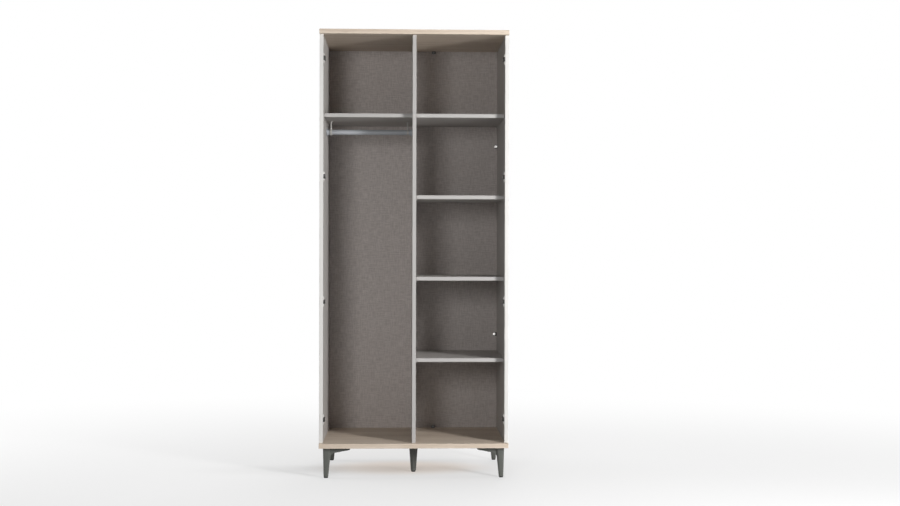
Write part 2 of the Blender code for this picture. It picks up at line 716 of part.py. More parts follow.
def make_legs():
    mesh = leg_mesh()
    stem_top = GLIDE_HEIGHT + GLIDE_STEM_LENGTH
    glide = [
        (0.0, stem_top),
        (GLIDE_STEM_RADIUS, stem_top),
        (GLIDE_STEM_RADIUS, GLIDE_HEIGHT),
        (GLIDE_RADIUS, GLIDE_HEIGHT),
        (GLIDE_RADIUS, GLIDE_RIM),
        (GLIDE_RADIUS - GLIDE_RIM, 0.0),
        (0.0, 0.0),
    ]
    for name, (location, turn) in leg_places().items():
        place(f"{name}_leg", mesh, CAST_METAL, location, (0.0, 0.0, math.radians(turn)))
        turned(f"{name}_glide", glide, GLIDE_PLASTIC, location, sides=GLIDE_SIDES)


def main():
    make_caps()
    make_uprights()
    make_backs()
    make_shelves()
    make_dowels()
    make_pins()
    make_rail()
    make_hangers()
    make_hinge_plates()
    make_fasteners()
    make_legs()


main()
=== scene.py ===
import math

import bmesh
import bpy
from mathutils import Matrix, Vector


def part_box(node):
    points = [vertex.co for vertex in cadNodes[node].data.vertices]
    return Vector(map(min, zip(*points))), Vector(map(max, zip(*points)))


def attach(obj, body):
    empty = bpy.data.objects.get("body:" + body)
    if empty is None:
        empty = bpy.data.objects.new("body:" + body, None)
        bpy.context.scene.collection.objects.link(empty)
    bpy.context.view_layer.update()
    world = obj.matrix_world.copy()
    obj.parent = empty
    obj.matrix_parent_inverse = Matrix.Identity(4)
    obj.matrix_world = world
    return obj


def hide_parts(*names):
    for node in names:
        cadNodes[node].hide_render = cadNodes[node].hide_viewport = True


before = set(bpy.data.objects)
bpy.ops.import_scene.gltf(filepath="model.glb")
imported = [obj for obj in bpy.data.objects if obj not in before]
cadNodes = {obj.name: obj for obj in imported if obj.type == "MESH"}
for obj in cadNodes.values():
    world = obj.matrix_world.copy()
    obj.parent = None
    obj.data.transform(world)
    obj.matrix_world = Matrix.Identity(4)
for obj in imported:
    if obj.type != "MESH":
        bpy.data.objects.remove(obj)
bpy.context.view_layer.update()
scene = bpy.context.scene
scene.view_settings.view_transform = "Standard"
fullTurn = 2 * math.pi
axisX = Vector((1, 0, 0))
axisY = Vector((0, 1, 0))
axisZ = Vector((0, 0, 1))
print("frame loaded:", len(cadNodes), "solids")


# Camera, square to the front and turned a little to the right
cameraSetup = {
    "place": (-0.0492, -6.4662, 1.1016),
    "yaw": -2.03,  # degrees, towards the shelf bay
    "tilt": -0.28,
    "roll": 0.13,
    "focalPixels": 1303.3,  # in a picture of the width below
    "pictureWidth": 900,
    "sensorWidth": 36.0,
    "farClip": 200.0,
}


def makeCamera(setup):
    lens = bpy.data.cameras.new("photoCamera")
    lens.sensor_width = setup["sensorWidth"]
    lens.lens = setup["focalPixels"] / setup["pictureWidth"] * lens.sensor_width
    lens.clip_end = setup["farClip"]
    camera = bpy.data.objects.new("photoCamera", lens)
    scene.collection.objects.link(camera)
    turn = Matrix.Rotation(math.radians(setup["yaw"]), 4, "Z")
    tilt = Matrix.Rotation(math.radians(90 + setup["tilt"]), 4, "X")
    roll = Matrix.Rotation(math.radians(setup["roll"]), 4, "Z")
    camera.matrix_world = Matrix.Translation(setup["place"]) @ turn @ tilt @ roll
    scene.camera = camera


makeCamera(cameraSetup)


# Studio lamps: two strip boxes on the right, a softer box left of the camera, and three broad washes
lamps = {
    "sideStrip": {"place": (2.75, -2.9, 1.55), "aim": (0.0, -0.1, 1.1), "size": (0.5, 1.2), "power": 104},
    "nearStrip": {"place": (2.55, -3.08, 2.12), "aim": (0.0, -0.1, 1.2), "size": (0.32, 0.9), "power": 30},
    "frontBox": {"place": (-1.33, -5.0, 1.87), "aim": (0.0, 0.0, 1.05), "size": (1.0, 1.2), "power": 48.5},
    "leftWash": {"place": (-4.0, 0.9, 1.9), "aim": (-0.4, 0.3, 1.0), "size": (2.4, 2.4), "power": 75},
    "rearWash": {"place": (1.2, 4.6, 2.4), "aim": (0.0, 0.3, 1.0), "size": (2.6, 2.2), "power": 100},
    "topWash": {"place": (0.0, 0.6, 9.0), "aim": (0.0, 0.2, 0.0), "size": (4.0, 4.0), "power": 270},
}


def makeLamp(name, look):
    light = bpy.data.lights.new(name, "AREA")
    light.shape = "RECTANGLE"
    light.size, light.size_y = look["size"]
    light.energy = look["power"]
    lamp = bpy.data.objects.new(name, light)
    scene.collection.objects.link(lamp)
    ray = Vector(look["aim"]) - Vector(look["place"])
    turn = ray.to_track_quat("-Z", "Y").to_matrix().to_4x4()
    lamp.matrix_world = Matrix.Translation(look["place"]) @ turn
    lamp.visible_camera = False


for lampName, lampLook in lamps.items():
    makeLamp(lampName, lampLook)
print("camera and", len(lamps), "lamps set")


# Shader maths: a wire is an output socket that can be added, subtracted and multiplied
class Wire:
    def __init__(self, finish, socket):
        self.finish = finish
        self.socket = socket

    def __add__(self, other):
        return self.finish.maths("ADD", self, other)

    def __radd__(self, other):
        return self.finish.maths("ADD", other, self)

    def __sub__(self, other):
        return self.finish.maths("SUBTRACT", self, other)

    def __rsub__(self, other):
        return self.finish.maths("SUBTRACT", other, self)

    def __mul__(self, other):
        return self.finish.maths("MULTIPLY", self, other)

    def __rmul__(self, other):
        return self.finish.maths("MULTIPLY", other, self)


def shade(colour, factor):
    return (colour[0] * factor, colour[1] * factor, colour[2] * factor, 1.0)


# A finish is a material, or the world, with its nodes
class Finish:
    def __init__(self, owner):
        self.owner = owner
        self.owner.use_nodes = True
        self.tree = self.owner.node_tree
        self.shader = self.tree.nodes.get("Principled BSDF")
        self.place = self.node("TexCoord", {}, {}, "Object")

    def node(self, kind, settings, inputs, output=0):
        made = self.tree.nodes.new("ShaderNode" + kind)
        for key, value in settings.items():
            setattr(made, key, value)
        for key, value in inputs.items():
            self.feed(made.inputs[key], value)
        return Wire(self, made.outputs[output])

    def feed(self, socket, value):
        if isinstance(value, Wire):
            self.tree.links.new(value.socket, socket)
        else:
            socket.default_value = value

    def maths(self, operation, first, second=0.0):
        return self.node("Math", {"operation": operation}, {0: first, 1: second})

    def along(self, axis):
        return self.node("SeparateXYZ", {}, {"Vector": self.place}, axis)

    def noise(self, grain, shift=0.0):
        stretch = {"Vector": self.place, "Location": [shift] * 3, "Scale": grain["scale"]}
        where = self.node("Mapping", {}, stretch)
        inputs = {"Vector": where, "Scale": 1.0, "Detail": grain["detail"], "Roughness": grain["roughness"]}
        return self.node("TexNoise", {}, inputs)

    def ease(self, value, start, end):
        inputs = {"Value": value, "From Min": start, "From Max": end}
        return self.node("MapRange", {"interpolation_type": "SMOOTHSTEP"}, inputs)

    def tint(self, share, first, second):
        # a Mix node has its colours at 6 and 7, and the mixed colour at output 2
        return self.node("Mix", {"data_type": "RGBA"}, {0: share, 6: first, 7: second}, 2)

    def mottled(self, share, colour, tones):
        return self.tint(share, shade(colour, tones[0]), shade(colour, tones[1]))

    def bump(self, height, depth, strength):
        return self.node("Bump", {}, {"Height": height, "Distance": depth, "Strength": strength})

    def dress(self, **sockets):
        for key, value in sockets.items():
            self.feed(self.shader.inputs[key.replace("_", " ")], value)
        return self.owner


def newFinish(name):
    return Finish(bpy.data.materials.new(name))


# White studio: the sky is white to the camera and dim as a light, and the floor fades into it
studioLook = {
    "white": (1.0, 1.0, 1.0, 1.0),
    "skyLight": 0.01,
    "floor": (0.73, 0.73, 0.73, 1.0),
    "floorBounce": (0.32, 0.32, 0.32, 1.0),  # what the floor sends back up to the object
    "floorRoughness": 0.9,
    "floorSize": 60.0,
    # Painted shade: inside the oval below, the floor is lifted less to white, which deepens and narrows the
    # shadow under the carcass
    "coreWhite": 0.415,  # how far the floor is lifted to white in the middle of the shadow
    "nearWhite": 0.58,  # and by the feet
    "core": {"middle": (-0.35, -0.03), "reach": (0.6, 0.135), "start": 0.32, "end": 1.55},
    "fade": {"middle": (0.0, -1.5), "reach": (1.0, 1.0), "start": 1.5, "end": 5.0},
    "warmTint": (1.0, 0.90, 0.82, 1.0),  # painted warm light under the carcass, standing in for light from the oak under the bottom panel
    "warm": {"middle": (-0.05, 0.03), "reach": (0.48, 0.25), "start": 0.35, "end": 1.05},
}


def seenRay(finish):
    # 1 for a ray from the camera, and for one that a glossy or clear surface sends on
    seen = finish.node("LightPath", {}, {}, "Is Camera Ray")
    for kind in ("Is Glossy Ray", "Is Transmission Ray"):
        seen = finish.maths("MAXIMUM", seen, finish.node("LightPath", {}, {}, kind))
    return seen


def outsideOval(finish, oval):
    # 0 in the middle of an oval on the floor and 1 away from it, with start and end in lengths of its reach
    shift = [-place / size for place, size in zip(oval["middle"], oval["reach"])]
    scale = [1.0 / size for size in oval["reach"]]
    stretch = {"Vector": finish.place, "Location": (*shift, 0.0), "Scale": (*scale, 1.0)}
    where = finish.node("Mapping", {}, stretch)
    away = finish.node("VectorMath", {"operation": "LENGTH"}, {0: where}, "Value")
    return finish.ease(away, oval["start"], oval["end"])


def makeStudio(look):
    sky = Finish(bpy.data.worlds.new("studioSky"))
    scene.world = sky.owner
    background = sky.tree.nodes["Background"].inputs
    sky.feed(background["Color"], look["white"])
    sky.feed(background["Strength"], look["skyLight"] + seenRay(sky) * (1.0 - look["skyLight"]))

    pale = newFinish("paleFloor")
    pale.dress(Base_Color=look["floorBounce"], Roughness=look["floorRoughness"])
    # less lift to white inside the painted shade oval, more outside it
    lift = look["coreWhite"] + outsideOval(pale, look["core"]) * (look["nearWhite"] - look["coreWhite"])
    lift = lift + outsideOval(pale, look["fade"]) * (1.0 - lift)
    # painted warm light on the floor under the carcass
    paintedBounceGlow = pale.tint(outsideOval(pale, look["warm"]), look["warmTint"], look["white"])
    white = pale.node("Emission", {}, {"Color": paintedBounceGlow})
    paint = pale.node("BsdfDiffuse", {}, {"Color": look["floor"]})
    shown = pale.node("MixShader", {}, {0: lift, 1: paint, 2: white})
    bounce = Wire(pale, pale.shader.outputs[0])
    mixed = pale.node("MixShader", {}, {0: seenRay(pale), 1: bounce, 2: shown})
    pale.feed(pale.tree.nodes["Material Output"].inputs["Surface"], mixed)

    bm = bmesh.new()
    bmesh.ops.create_grid(bm, x_segments=1, y_segments=1, size=look["floorSize"])
    mesh = bpy.data.meshes.new("studioFloor")
    bm.to_mesh(mesh)
    bm.free()
    mesh.materials.append(pale.owner)
    floor = bpy.data.objects.new("studioFloor", mesh)
    scene.collection.objects.link(floor)


makeStudio(studioLook)
print("studio floor and sky made")


# Edging strips: the mask is 1 at a face of a board and 0 below the strip
edgingCore = 0.7  # share of the strip's depth that has its full colour


def skinMask(finish, axis, skin, inwards, depth):
    return finish.ease(finish.along(axis), skin + inwards * depth, skin + inwards * depth * edgingCore)


# Pale oak boards of the top and bottom, with the grain running across the width and a lighter edging strip
oakLook = {
    "pale": (0.815, 0.697, 0.578, 1.0),
    "deep": (0.67, 0.552, 0.44, 1.0),
    "pore": (0.40, 0.31, 0.235, 1.0),
    "faceShade": 0.82,  # of the broad faces, against the edging
    "edgingDepth": 0.0011,
    "streaks": {"scale": (0.9, 15.0, 30.0), "detail": 5.0, "roughness": 0.6},
    "fines": {"scale": (6.0, 150.0, 150.0), "detail": 3.0, "roughness": 0.6},
    "pores": {"scale": (20.0, 800.0, 800.0), "detail": 1.0, "roughness": 0.55},
    "poreRange": (0.60, 0.72),
    "poreStrength": 0.4,
    "streakShare": 0.65,
    "fineShare": 0.35,
    "toneRange": (0.36, 0.66),
    "fineHeight": 0.6,
    "bump": (0.0002, 0.6),  # depth and strength
    "roughness": 0.42,
    "roughnessSpread": 0.14,
    "gloss": 0.25,
}


def oakFinish(name, node, shift, look):
    low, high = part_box(node)
    oak = newFinish(name)
    streak = oak.noise(look["streaks"], shift)
    fine = oak.noise(look["fines"], shift)
    pore = oak.ease(oak.noise(look["pores"], shift), *look["poreRange"])
    tone = oak.ease(streak * look["streakShare"] + fine * look["fineShare"], *look["toneRange"])
    strip = 0.0
    for axis, skin, inwards in (("X", low.x, 1), ("X", high.x, -1), ("Y", low.y, 1), ("Y", high.y, -1)):
        strip = oak.maths("MAXIMUM", strip, skinMask(oak, axis, skin, inwards, look["edgingDepth"]))
    dim = look["faceShade"]
    face = oak.tint(tone, shade(look["pale"], dim), shade(look["deep"], dim))
    colour = oak.tint(strip, face, oak.tint(tone, look["pale"], look["deep"]))
    colour = oak.tint(pore * look["poreStrength"], colour, look["pore"])
    rough = look["roughness"] + fine * look["roughnessSpread"]
    normal = oak.bump(fine * look["fineHeight"] - pore, *look["bump"])
    return oak.dress(Base_Color=colour, Roughness=rough, Normal=normal, Specular_IOR_Level=look["gloss"])


# Matt laminate boards: greige faces, an edging strip on the front, and a pale skin outside on the two sides
laminateLook = {
    "face": (0.436, 0.416, 0.399, 1.0),
    "faceTones": (0.96, 1.04),
    "edging": (0.526, 0.51, 0.495, 1.0),
    "edgingTones": (0.985, 1.015),
    "outer": (0.83, 0.815, 0.79, 1.0),
    "outerTones": (0.975, 1.02),
    "edgingDepth": 0.0011,
    "seamReach": 1.4,  # in depths of the edging
    "seamShade": 0.35,
    "seamStrength": 0.35,
    "mottle": {"scale": (7.0, 7.0, 7.0), "detail": 4.0, "roughness": 0.55},
    "emboss": {"scale": (900.0, 900.0, 900.0), "detail": 2.0, "roughness": 0.55},
    "bump": (0.00012, 0.5),
    "roughness": 0.5,
    "roughnessSpread": 0.08,
    "edgingPolish": 0.08,
    "gloss": 0.2,
}


def laminateFinish(name, node, shift, look, outside=0):
    low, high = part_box(node)
    board = newFinish(name)
    mottle = board.noise(look["mottle"], shift)
    emboss = board.noise(look["emboss"], shift)
    depth = look["edgingDepth"]
    front = skinMask(board, "Y", low.y, 1, depth)
    seam = board.ease(board.along("Y"), low.y + depth * look["seamReach"], low.y + depth) - front
    edging = look["edging"]
    colour = board.mottled(mottle, look["face"], look["faceTones"])
    if outside:  # -1 for a left side, 1 for a right side
        edging = look["outer"]
        outer = skinMask(board, "X", low.x if outside < 0 else high.x, -outside, depth)
        colour = board.tint(outer, colour, board.mottled(mottle, edging, look["outerTones"]))
    colour = board.tint(front, colour, board.mottled(mottle, edging, look["edgingTones"]))
    colour = board.tint(seam * look["seamStrength"], colour, shade(look["face"], look["seamShade"]))
    rough = look["roughness"] + mottle * look["roughnessSpread"] - front * look["edgingPolish"]
    normal = board.bump(emboss, *look["bump"])
    return board.dress(Base_Color=colour, Roughness=rough, Normal=normal, Specular_IOR_Level=look["gloss"])


# Linen print on the back panels, raw hardboard behind
linenLook = {
    "light": (0.64, 0.59, 0.566, 1.0),
    "dark": (0.466, 0.424, 0.404, 1.0),
    # Per-panel tones are painted light and shade: the same print is made lighter on the left panel and darker
    # on the right, for the light in their bays
    "tones": {"left_back_panel": 1.1, "right_back_panel": 0.925},
    "thread": 0.0017,  # from one thread to the next
    "across": {"scale": (26.0, 26.0, 190.0), "detail": 4.0, "roughness": 0.65},
    "upright": {"scale": (190.0, 26.0, 26.0), "detail": 4.0, "roughness": 0.65},
    "uprightShift": 3.0,
    "wander": 5.0,  # of the threads, in radians of their beat
    "slubShare": 0.5,
    "weaveShare": 0.035,
    "toneRange": (0.36, 0.64),
    "hardboard": (0.34, 0.225, 0.135, 1.0),
    "hardboardTones": (0.75, 1.2),
    "fibres": {"scale": (260.0, 260.0, 260.0), "detail": 4.0, "roughness": 0.7},
    "fibreRange": (0.3, 0.7),
    "behindBlend": 0.0004,
    "relief": 0.5,
    "bump": (0.00025, 0.6),
    "roughness": 0.62,
    "roughnessSpread": 0.1,
    "hardboardRoughness": 0.15,  # more than the print
    "gloss": 0.08,
}


def linenFinish(name, node, shift, look):
    low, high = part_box(node)
    linen = newFinish(name)
    across = linen.noise(look["across"], shift)
    upright = linen.noise(look["upright"], shift + look["uprightShift"])
    beat = fullTurn / look["thread"]
    weft = linen.maths("SINE", linen.along("Z") * beat + across * look["wander"])
    warp = linen.maths("SINE", linen.along("X") * beat + upright * look["wander"])
    weave = weft * warp
    slub = across * look["slubShare"] + upright * look["slubShare"]
    tone = linen.ease(slub + weave * look["weaveShare"], *look["toneRange"])
    # painted light and shade: the print is scaled by its panel's tone
    share = look["tones"][node]
    printWithPaintedLightAndShade = linen.tint(tone, shade(look["dark"], share), shade(look["light"], share))
    fibre = linen.ease(linen.noise(look["fibres"], shift), *look["fibreRange"])
    raw = linen.mottled(fibre, look["hardboard"], look["hardboardTones"])
    middle = (low.y + high.y) / 2
    behind = linen.ease(linen.along("Y"), middle, middle + look["behindBlend"])
    height = weave * look["relief"] + (across + upright) * look["relief"]
    normal = linen.bump(height, *look["bump"])
    rough = look["roughness"] + tone * look["roughnessSpread"] + behind * look["hardboardRoughness"]
    colour = linen.tint(behind, printWithPaintedLightAndShade, raw)
    return linen.dress(Base_Color=colour, Roughness=rough, Normal=normal, Specular_IOR_Level=look["gloss"])


# Beech of the hidden dowels
beechLook = {
    "pale": (0.62, 0.46, 0.30, 1.0),
    "deep": (0.50, 0.35, 0.21, 1.0),
    "grain": {"scale": (20.0, 400.0, 400.0), "detail": 3.0, "roughness": 0.55},
    "roughness": 0.55,
    "roughnessSpread": 0.15,
}


def beechFinish(look):
    beech = newFinish("beechDowel")
    grain = beech.noise(look["grain"])
    rough = look["roughness"] + grain * look["roughnessSpread"]
    return beech.dress(Base_Color=beech.tint(grain, look["pale"], look["deep"]), Roughness=rough)


def coat(node, finish):
    cadNodes[node].material_slots[0].material = finish


coat("top_panel", oakFinish("oakTop", "top_panel", 1.3, oakLook))
coat("bottom_panel", oakFinish("oakBottom", "bottom_panel", 8.7, oakLook))
coat("left_side_panel", laminateFinish("leftSideBoard", "left_side_panel", 2.1, laminateLook, -1))
coat("right_side_panel", laminateFinish("rightSideBoard", "right_side_panel", 5.4, laminateLook, 1))
coat("centre_divider", laminateFinish("dividerBoard", "centre_divider", 3.6, laminateLook))
coat("hat_shelf", laminateFinish("hatShelfBoard", "hat_shelf", 6.2, laminateLook))
for number in range(1, 5):
    shelf = f"right_shelf_{number}"
    coat(shelf, laminateFinish(f"rightShelfBoard{number}", shelf, 7.0 + number, laminateLook))
coat("left_back_panel", linenFinish("leftLinen", "left_back_panel", 1.0, linenLook))
coat("right_back_panel", linenFinish("rightLinen", "right_back_panel", 4.0, linenLook))
beechDowel = beechFinish(beechLook)
for node in cadNodes:
    if "dowel" in node:
        coat(node, beechDowel)
print("boards coated")


# Metals of the fittings
metalGrain = {
    "brushed": {"scale": (5.0, 700.0, 700.0), "detail": 3.0, "roughness": 0.55},
    "clouded": {"scale": (160.0, 160.0, 160.0), "detail": 3.0, "roughness": 0.55},
    "tones": (0.86, 1.1),
    "bump": (0.00003, 0.35),
    "roughnessSpread": 0.18,
}
railLook = {"colour": (0.45, 0.47, 0.50, 1.0), "roughness": 0.36, "metal": 0.03, "gloss": 0.2}
hangerLook = {"colour": (0.52, 0.505, 0.48, 1.0), "roughness": 0.36, "metal": 0.1, "gloss": 0.3}
nickelLook = {"colour": (0.50, 0.49, 0.47, 1.0), "roughness": 0.22, "metal": 1.0, "gloss": 0.5}
zincLook = {"colour": (0.78, 0.77, 0.75, 1.0), "roughness": 0.34, "metal": 1.0, "gloss": 0.5}
# Dark steel of the hinge bridges, which also stands in for their shade and dark reflection, and painted shade
# on the top and bottom cams
darkSteelAndPaintedShadeLook = {"colour": (0.10, 0.098, 0.094, 1.0), "roughness": 0.3, "metal": 1.0, "gloss": 0.5}


def metalFinish(name, look, surface="clouded"):
    metal = newFinish(name)
    grain = metal.noise(metalGrain[surface])
    colour = metal.mottled(grain, look["colour"], metalGrain["tones"])
    rough = look["roughness"] + grain * metalGrain["roughnessSpread"]
    normal = metal.bump(grain, *metalGrain["bump"])
    return metal.dress(Base_Color=colour, Roughness=rough, Metallic=look["metal"], Normal=normal,
                       Specular_IOR_Level=look["gloss"])


satinRail = metalFinish("satinRail", railLook, "brushed")
satinHanger = metalFinish("satinHanger", hangerLook)
nickel = metalFinish("nickelPlate", nickelLook)
brightZinc = metalFinish("brightZinc", zincLook)
darkSteel = metalFinish("darkSteel", darkSteelAndPaintedShadeLook)


# Paint of the cast legs
castLook = {
    "colour": (0.108, 0.113, 0.101, 1.0),
    "tones": (0.8, 1.2),
    "grain": {"scale": (1400.0, 1400.0, 1400.0), "detail": 2.0, "roughness": 0.55},
    "cloud": {"scale": (24.0, 24.0, 24.0), "detail": 3.0, "roughness": 0.55},
    "grainShare": 0.5,
    "cloudShare": 0.5,
    "bump": (0.00018, 0.5),
    "roughness": 0.4,
    "roughnessSpread": 0.16,
}


def castFinish(look):
    cast = newFinish("castPaint")
    grain = cast.noise(look["grain"])
    cloud = cast.noise(look["cloud"])
    tone = cloud * look["cloudShare"] + grain * look["grainShare"]
    colour = cast.mottled(tone, look["colour"], look["tones"])
    rough = look["roughness"] + grain * look["roughnessSpread"]
    return cast.dress(Base_Color=colour, Roughness=rough, Normal=cast.bump(grain, *look["bump"]))


castPaint = castFinish(castLook)


# Plastics of the glides and the back fasteners
plasticLook = {
    "black": (0.025, 0.025, 0.026, 1.0),
    "grey": (0.09, 0.087, 0.083, 1.0),
    "tones": (0.88, 1.1),
    "grain": {"scale": (900.0, 900.0, 900.0), "detail": 2.0, "roughness": 0.55},
    "bump": (0.0001, 0.4),
    "roughness": 0.42,
    "roughnessSpread": 0.16,
}


def plasticFinish(name, colour, look):
    plastic = newFinish(name)
    grain = plastic.noise(look["grain"])
    colour = plastic.mottled(grain, colour, look["tones"])
    rough = look["roughness"] + grain * look["roughnessSpread"]
    return plastic.dress(Base_Color=colour, Roughness=rough, Normal=plastic.bump(grain, *look["bump"]))


blackPlastic = plasticFinish("blackPlastic", plasticLook["black"], plasticLook)
greyPlastic = plasticFinish("greyPlastic", plasticLook["grey"], plasticLook)
print("finishes of the fittings mixed")


# Modelling helpers
def spun(points, steps):
    # turns (radius, height) points about Z
    bm = bmesh.new()
    verts = [bm.verts.new((radius, 0.0, height)) for radius, height in points]
    edges = [bm.edges.new(pair) for pair in zip(verts, verts[1:])]
    bmesh.ops.spin(bm, geom=verts + edges, cent=(0, 0, 0), axis=(0, 0, 1), angle=fullTurn, steps=steps,
                   use_merge=True)
    bmesh.ops.remove_doubles(bm, verts=bm.verts, dist=1e-6)
    bmesh.ops.recalc_face_normals(bm, faces=bm.faces)
    return bm


def ringOf(outer, inner, half, steps):
    return spun([(outer, half), (outer, -half), (inner, -half), (inner, half), (outer, half)], steps)


def block(low, high):
    low = Vector(low)
    high = Vector(high)
    bm = bmesh.new()
    size = Matrix.Diagonal((*(high - low), 1.0))
    bmesh.ops.create_cube(bm, size=1.0, matrix=Matrix.Translation((low + high) / 2) @ size)
    return bm


def soften(bm, width, segments, sharperThan):
    edges = [edge for edge in bm.edges if edge.calc_face_angle(0.0) > math.radians(sharperThan)]
    bmesh.ops.bevel(bm, geom=edges, offset=width, segments=segments, profile=0.5, affect="EDGES", material=-1,
                    clamp_overlap=True)
    return bm


def roundUprights(bm, radius, segments):
    uprights = [edge for edge in bm.edges if edge.verts[0].co.z != edge.verts[1].co.z]
    bmesh.ops.bevel(bm, geom=uprights, offset=radius, segments=segments, profile=0.5, affect="EDGES",
                    material=-1)


def chop(bm, point, normal):
    # keeps what lies behind the plane and closes the cut
    geom = list(bm.verts) + list(bm.edges) + list(bm.faces)
    bmesh.ops.bisect_plane(bm, geom=geom, plane_co=point, plane_no=normal, clear_outer=True)
    rim = [edge for edge in bm.edges if edge.is_boundary]
    bmesh.ops.edgeloop_fill(bm, edges=rim)
    bmesh.ops.recalc_face_normals(bm, faces=bm.faces)
    return bm


def moved(bm, matrix):
    bmesh.ops.transform(bm, matrix=matrix, verts=bm.verts)
    return bm


def aimed(direction, place=(0, 0, 0)):
    return Matrix.Translation(place) @ Vector(direction).to_track_quat("Z", "Y").to_matrix().to_4x4()


def framed(xAxis, zAxis, place):
    # stands a piece's own X and Z along two directions
    turn = Matrix((xAxis, zAxis.cross(xAxis), zAxis)).transposed()
    return Matrix.Translation(place) @ turn.to_4x4()


def meshOf(bm, name):
    mesh = bpy.data.meshes.new(name)
    bm.to_mesh(mesh)
    bm.free()
    return mesh


def copyOf(mesh):
    bm = bmesh.new()
    bm.from_mesh(mesh)
    return bm


def baked(first, others, voxel=0.0):
    # first with the others joined on or cut out, and remeshed if a voxel size is given
    made = [bpy.data.objects.new("bench", meshOf(first, "bench"))]
    for operation, bm in others:
        made.append(bpy.data.objects.new("bench", meshOf(bm, "bench")))
        step = made[0].modifiers.new("step", "BOOLEAN")
        step.operation = operation
        step.object = made[-1]
        step.solver = "EXACT"
    if voxel:
        skin = made[0].modifiers.new("skin", "REMESH")
        skin.mode = "VOXEL"
        skin.voxel_size = voxel
    for thing in made:
        scene.collection.objects.link(thing)
    bm = bmesh.new()
    bm.from_object(made[0], bpy.context.evaluated_depsgraph_get())
    for thing in made:
        bpy.data.objects.remove(thing)
    return bm


def together(parts):
    bm = bmesh.new()
    for part in parts:
        bm.from_mesh(meshOf(part, "part"))
    return bm


def camelName(node):
    words = node.split("_")
    return words[0] + "".join(word.title() for word in words[1:])


def finished(name, bm, finish, body="carcass", stands=(), crease=35):
    mesh = meshOf(bm, name)
    mesh.materials.append(finish)
    mesh.shade_smooth()
    mesh.set_sharp_from_angle(angle=math.radians(crease))
    piece = bpy.data.objects.new(name, mesh)
    scene.collection.objects.link(piece)
    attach(piece, body)
    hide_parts(*stands)


# Cross-head screw, with its head on Z and its seat at the origin
screwLook = {"headRadius": 0.0036, "headHeight": 0.0021, "flat": 0.5, "sunk": 0.0006, "crossLength": 0.0043,
             "crossWidth": 0.0011, "crossDepth": 0.0013}
screwDome = ((0.0, 0.96), (0.36, 0.74), (0.94, 0.4))  # way from the flat to the rim, share of the height
screwNeck = 0.8  # of the head's radius


def makeScrew(look):
    radius = look["headRadius"]
    top = look["headHeight"]
    flat = look["flat"]  # share of the radius that is nearly level
    sunk = look["sunk"]
    dome = [(radius * (way + flat * (1 - way)), top * rise) for way, rise in screwDome]
    head = spun([(0, top), *dome, (radius, 0), (radius * screwNeck, -sunk), (0, -sunk)], steps=32)
    long = look["crossLength"] / 2
    thin = look["crossWidth"] / 2
    floor = top - look["crossDepth"]
    cuts = [("DIFFERENCE", block((-long, -thin, floor), (long, thin, top * 2))),
            ("DIFFERENCE", block((-thin, -long, floor), (thin, long, top * 2)))]
    return meshOf(baked(head, cuts), "crossScrew")


crossScrew = makeScrew(screwLook)


def screwAt(place, direction, size=1.0, screw=crossScrew):
    return moved(copyOf(screw), aimed(direction, place) @ Matrix.Scale(size, 4))


# Clothes rail: a thin satin tube in two cups, hung from the hat shelf at both ends
railShape = {"wall": 0.0012, "rim": 0.0003, "steps": 64}
socketShape = {"base": 0.0025, "wall": 0.0022, "flange": 0.0045, "clearance": 0.0003, "rim": 0.0007,
               "steps": 64}
hangerShape = {"width": 0.009, "wall": 0.003, "clearance": 0.0003, "ringSteps": 64, "rim": 0.0006,
               "flange": 0.011, "flangeThickness": 0.0025, "stem": 0.0045, "stemSteps": 40,
               "neckSpread": 1.35, "neckTop": 0.0008, "neckFoot": 0.0025,
               "boss": 0.006, "bossHeight": 0.007, "bossSlope": 0.0015, "bossStart": 0.001,
               "screwOut": 0.0077, "screwSize": 0.62}


def makeRail(shape):
    low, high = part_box("clothes_rail")
    radius = (high.z - low.z) / 2
    half = (high.x - low.x) / 2
    tube = ringOf(radius, radius - shape["wall"], half, shape["steps"])
    soften(tube, shape["rim"], segments=2, sharperThan=60)
    moved(tube, aimed(axisX, (low + high) / 2))
    finished("clothesRailTube", tube, satinRail, stands=["clothes_rail"])


def makeSockets(shape):
    railLow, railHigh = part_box("clothes_rail")
    inside = (railHigh.z - railLow.z) / 2 + shape["clearance"]
    outside = inside + shape["wall"]
    flange = outside + shape["flange"]
    base = shape["base"]
    for side, out in (("left", axisX), ("right", -axisX)):
        node = f"{side}_rail_socket"
        low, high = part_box(node)
        reach = high.x - low.x
        cup = spun([(0, base), (inside, base), (inside, reach), (outside, reach), (outside, base),
                    (flange, base), (flange, 0), (0, 0)], shape["steps"])
        soften(cup, shape["rim"], segments=3, sharperThan=60)
        moved(cup, aimed(out, (low + high) / 2 - out * reach / 2))
        finished(f"{side}RailCup", cup, satinRail, stands=[node])


def hangerStem(top, ring, bore, shape):
    # a flange under the shelf, a stem and a boss that sinks into the ring
    flange = shape["flange"]
    stem = shape["stem"]
    boss = shape["boss"]
    flangeLow = top - shape["flangeThickness"]
    neck = (stem * shape["neckSpread"], flangeLow - shape["neckTop"])
    bossTop = ring + shape["bossHeight"]
    bossLow = bore + shape["bossStart"]
    whole = spun([(0, top), (flange, top), (flange, flangeLow), neck, (stem, flangeLow - shape["neckFoot"]),
                  (stem, bossTop + shape["bossSlope"]), (boss, bossTop), (boss, bossLow), (0, bossLow)],
                 shape["stemSteps"])
    return soften(whole, shape["rim"], segments=2, sharperThan=50)


